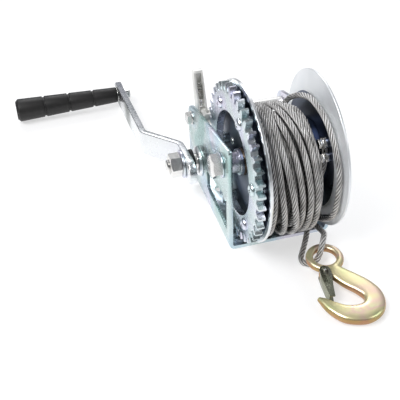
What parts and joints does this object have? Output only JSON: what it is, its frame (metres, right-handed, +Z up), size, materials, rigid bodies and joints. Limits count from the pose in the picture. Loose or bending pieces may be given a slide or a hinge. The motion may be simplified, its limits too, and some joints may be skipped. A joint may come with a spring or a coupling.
{
  "type": "boat trailer winch",
  "caption": "Hand winch: bent sheet frame, geared drum of wire rope with a safety hook, cranked handle with pinion, and a ratchet pawl with change-over lever.",
  "frame": {"origin": "middle of the underside of the frame's base, which bolts down on the winch post", "axes": "+Z up away from the mounting surface; X along the drum axle, +X towards the right flange, away from the crank handle; -Y towards the side where the rope and hook lie, +Y towards the crankshaft and ratchet"},
  "size_m": [0.248, 0.3906, 0.1355],
  "materials": {
    "zinc_plate": "bright blue-passivated zinc plate, satin",
    "drum_zinc": "dark reflecting zinc plate",
    "bright_fasteners": "bright zinc plated fasteners",
    "black_steel": "black oxide",
    "bronze": "plain bearing bronze",
    "yellow_zinc": "yellow passivated zinc plate, iridescent",
    "olive_zinc": "olive passivated zinc plate",
    "wire_rope": "galvanised stranded wire rope",
    "spring_steel": "plain spring steel",
    "grip_plastic": "black moulded plastic, fine grain"
  },
  "bodies": {
    "frame": {"frame": "zinc_plate", "axle_bolt": "bright_fasteners", "axle_head_washer": "drum_zinc", "axle_nut_washer": "bright_fasteners", "axle_nut": "bright_fasteners", "axle_sleeve_left": "zinc_plate", "axle_sleeve_right": "zinc_plate", "crank_bush_left": "bright_fasteners", "crank_bush_right": "bright_fasteners", "tie_bolt": "bright_fasteners", "tie_bolt_washer": "bright_fasteners", "tie_nut": "bright_fasteners", "tie_spacer": "bright_fasteners", "pawl_spacer": "zinc_plate", "rope_tail": "wire_rope", "rope_eye": "wire_rope", "rope_ferrule": "bright_fasteners"},
    "drum": {"ring_gear": "zinc_plate", "left_flange": "drum_zinc", "right_flange": "zinc_plate", "drum_core": "drum_zinc", "drum_bush_left": "bronze", "drum_bush_right": "bronze", "gear_rivet_1": "bright_fasteners", "gear_rivet_2": "bright_fasteners", "gear_rivet_3": "bright_fasteners", "gear_rivet_4": "bright_fasteners", "gear_rivet_5": "bright_fasteners", "gear_rivet_6": "bright_fasteners", "rope_clamp": "bright_fasteners", "clamp_screw_1": "bright_fasteners", "clamp_screw_2": "bright_fasteners", "rope_wraps": "wire_rope", "rope_outer_turn": "wire_rope"},
    "crank": {"crankshaft": "bright_fasteners", "pinion": "bright_fasteners", "crank_arm": "zinc_plate", "crank_nut": "bright_fasteners", "crank_washer": "zinc_plate", "crank_spacer": "black_steel", "crankshaft_clip": "spring_steel", "grip_bolt": "bright_fasteners", "grip_washer": "bright_fasteners", "grip_nut": "bright_fasteners"},
    "grip": {"grip": "grip_plastic"},
    "pawl": {"pawl": "bright_fasteners"},
    "lever": {"ratchet_lever": "bright_fasteners", "lever_plunger": "bright_fasteners", "lever_spring": "spring_steel"},
    "hook": {"hook": "yellow_zinc", "latch_pin": "bright_fasteners"},
    "latch": {"hook_latch": "olive_zinc"}
  },
  "joints": [
    {"name": "drum_spin", "type": "hinge", "parent": "frame", "child": "drum", "pos_m": [0, -0.0275, 0.07], "axis": [1, 0, 0], "continuous": true},
    {"name": "crank_spin", "type": "hinge", "parent": "frame", "child": "crank", "pos_m": [0, 0.039, 0.0316], "axis": [1, 0, 0], "continuous": true},
    {"name": "grip_spin", "type": "hinge", "parent": "crank", "child": "grip", "pos_m": [-0.133, 0.21301, 0.013], "axis": [1, 0, 0], "continuous": true},
    {"name": "lever_flip", "type": "hinge", "parent": "frame", "child": "lever", "pos_m": [-0.0336, 0.0595, 0.064], "axis": [-1, 0, 0], "range_deg": [0, 40]},
    {"name": "pawl_lift", "type": "hinge", "parent": "frame", "child": "pawl", "pos_m": [-0.0336, 0.0595, 0.064], "axis": [-1, 0, 0], "range_deg": [0, 25]},
    {"name": "hook_swing", "type": "hinge", "parent": "frame", "child": "hook", "pos_m": [0.0216, -0.091, 0.0089], "axis": [0, -0.0698, 0.9976], "range_deg": [-25, 30]},
    {"name": "latch_open", "type": "hinge", "parent": "hook", "child": "latch", "pos_m": [0.0148, -0.10676, 0.0078], "axis": [0, -0.0698, 0.9976], "range_deg": [0, 25], "stiffness_Nm_per_rad": 0.02, "springref_deg": -14.32}
  ],
  "couplings": [
    {"joint": "crank_spin", "follows": "drum_spin", "ratio": -4.1},
    {"joint": "pawl_lift", "follows": "lever_flip", "ratio": 0.6}
  ]
}
